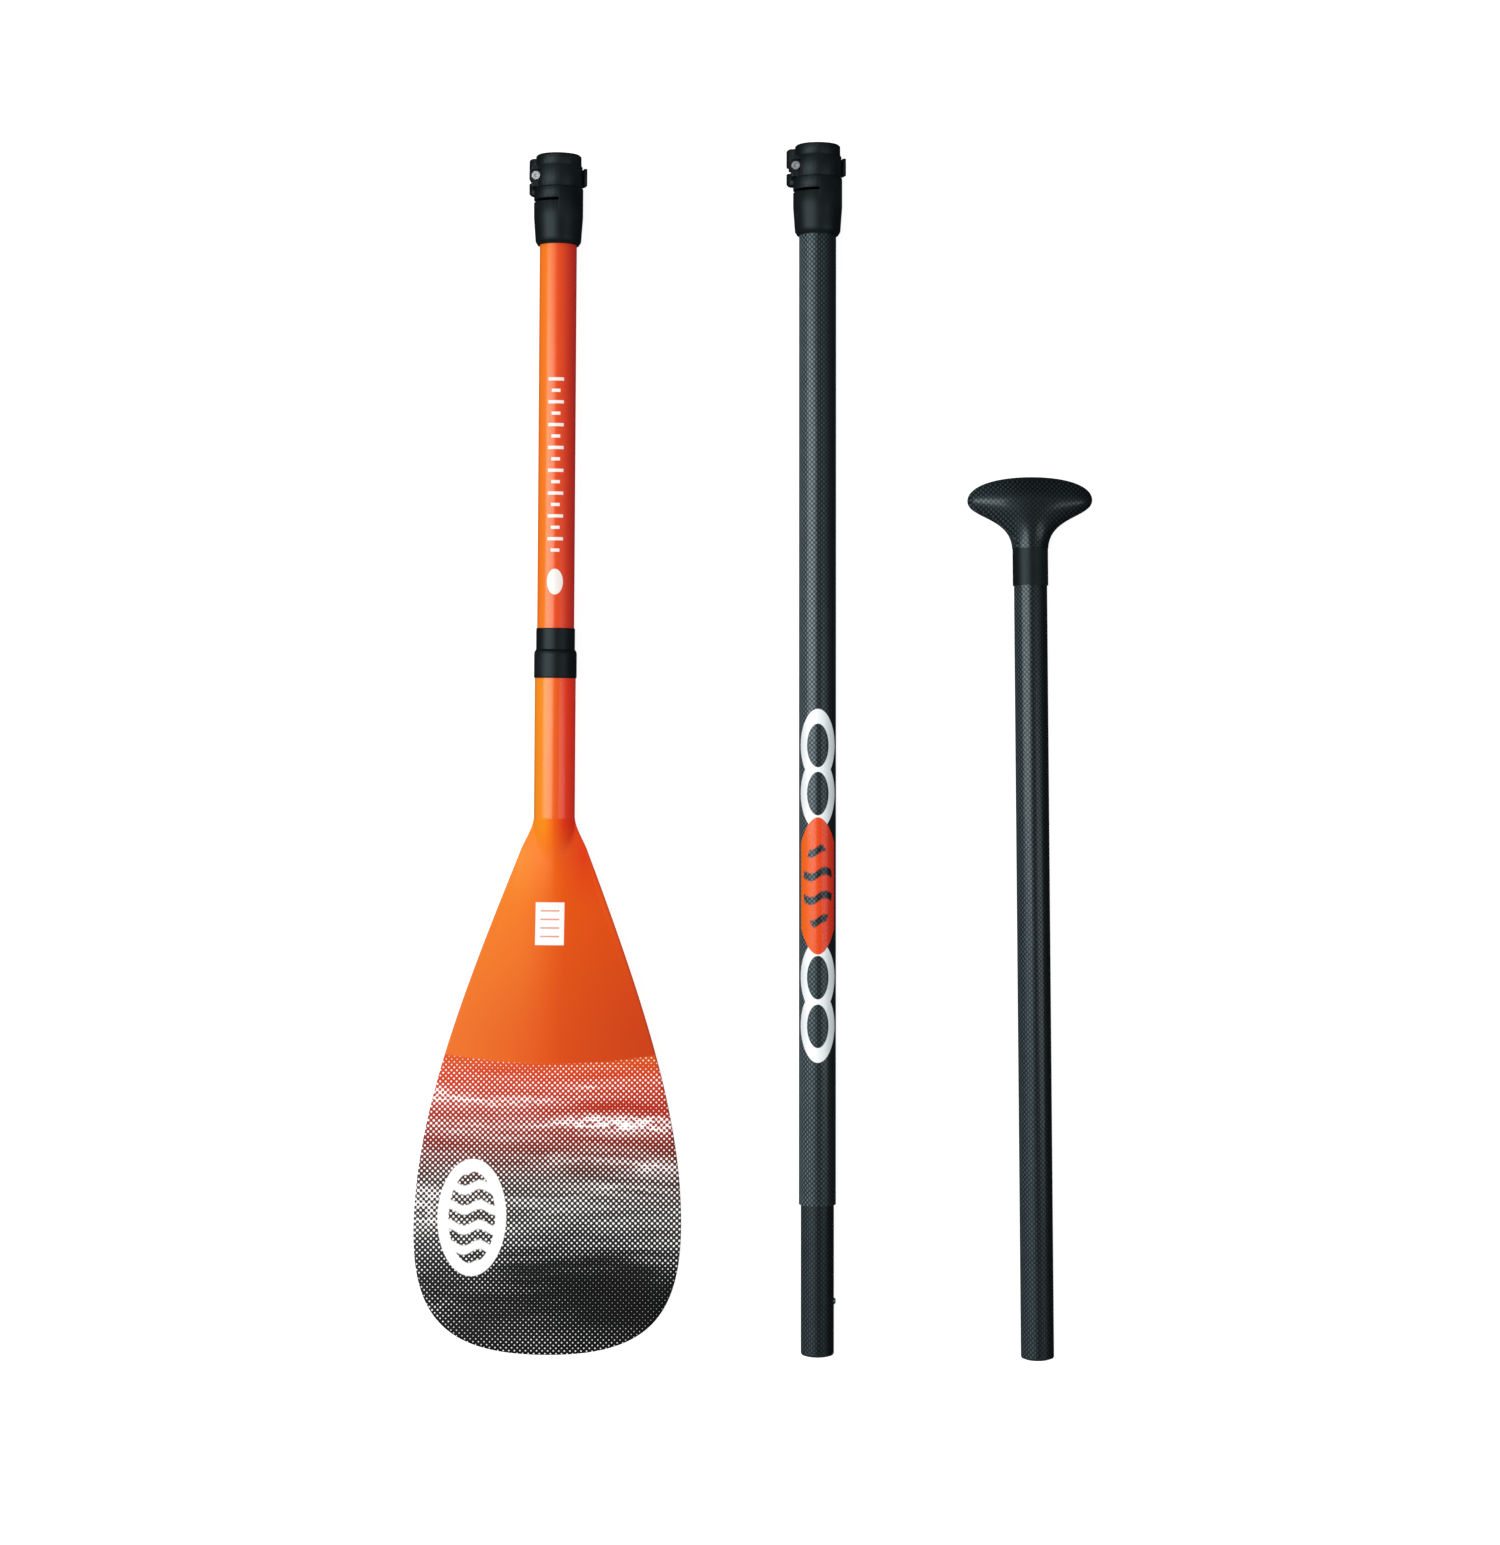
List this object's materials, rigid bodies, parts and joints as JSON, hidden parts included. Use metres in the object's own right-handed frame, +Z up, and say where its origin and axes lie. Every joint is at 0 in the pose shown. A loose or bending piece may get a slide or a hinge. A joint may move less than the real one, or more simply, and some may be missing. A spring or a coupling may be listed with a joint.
{
  "type": "single blade paddle",
  "caption": "Adjustable single-bladed paddle in three loose sections: bent teardrop blade on a tube, middle tube with ferrule, and palm-grip handle; cam clamps at both sockets.",
  "frame": {"origin": "centre of the layout's outline on the ground the three sections lie on", "axes": "+Y along the shafts from blade tip towards the sockets and grip, +X from the blade section towards the handle section, +Z up off the blade's printed face"},
  "size_m": [0.5275, 0.9512, 0.0789],
  "materials": {
    "blade_print": "gloss",
    "blade_paint": "gloss",
    "blade_edge": "satin",
    "shaft_paint": "gloss",
    "foam": "matte",
    "black_plastic": "satin",
    "steel": "polished",
    "carbon": "satin",
    "carbon_gloss": "gloss",
    "rubber_plug": "matte"
  },
  "bodies": {
    "blade_section": {"blade_front_skin": "blade_print", "blade_back_skin": "blade_paint", "blade_core": "foam", "edge_rail": "blade_edge", "blade_neck": "blade_paint", "neck_sleeve": "black_plastic", "lower_tube": "shaft_paint", "lower_bung": "foam", "lower_collar": "black_plastic", "lower_band": "black_plastic", "lower_bolt": "steel", "lower_barrel": "steel", "lower_saddle": "steel"},
    "lower_clamp_lever": {"lower_lever": "black_plastic"},
    "middle_section": {"middle_tube": "carbon", "middle_bung": "foam", "ferrule": "carbon", "ferrule_plug": "rubber_plug", "snap_spring": "steel", "upper_collar": "black_plastic", "upper_band": "black_plastic", "upper_bolt": "steel", "upper_barrel": "steel", "upper_saddle": "steel"},
    "upper_clamp_lever": {"upper_lever": "black_plastic"},
    "ferrule_button": {"snap_button": "steel"},
    "handle_section": {"handle_tube": "carbon", "handle_plug": "rubber_plug", "palm_grip": "carbon_gloss", "grip_core": "foam", "grip_cuff": "black_plastic"}
  },
  "joints": [
    {"name": "lower_lever_pivot", "type": "hinge", "parent": "blade_section", "child": "lower_clamp_lever", "pos_m": [-0.17195, 0.45126, 0.00659], "axis": [0.008, 0.9998, 0.0162], "range_deg": [0, 200]},
    {"name": "middle_section_slide", "type": "slide", "parent": "blade_section", "child": "middle_section", "axis": [0, 0.9999, 0.0119], "range_m": [0, 0.117]},
    {"name": "upper_lever_pivot", "type": "hinge", "parent": "middle_section", "child": "upper_clamp_lever", "pos_m": [0.03038, 0.45894, 0.00654], "axis": [0, 0.9999, 0.0119], "range_deg": [0, 200]},
    {"name": "ferrule_button_press", "type": "slide", "parent": "middle_section", "child": "ferrule_button", "axis": [-1, 0, 0], "range_m": [0, 0.0015], "stiffness_N_per_m": 1500, "springref_m": -0.002, "deforming": ["snap_spring"]},
    {"name": "handle_section_slide", "type": "slide", "parent": "middle_section", "child": "handle_section", "axis": [-0.0094, 0.9999, 0.0044], "range_m": [0, 0.5]}
  ]
}
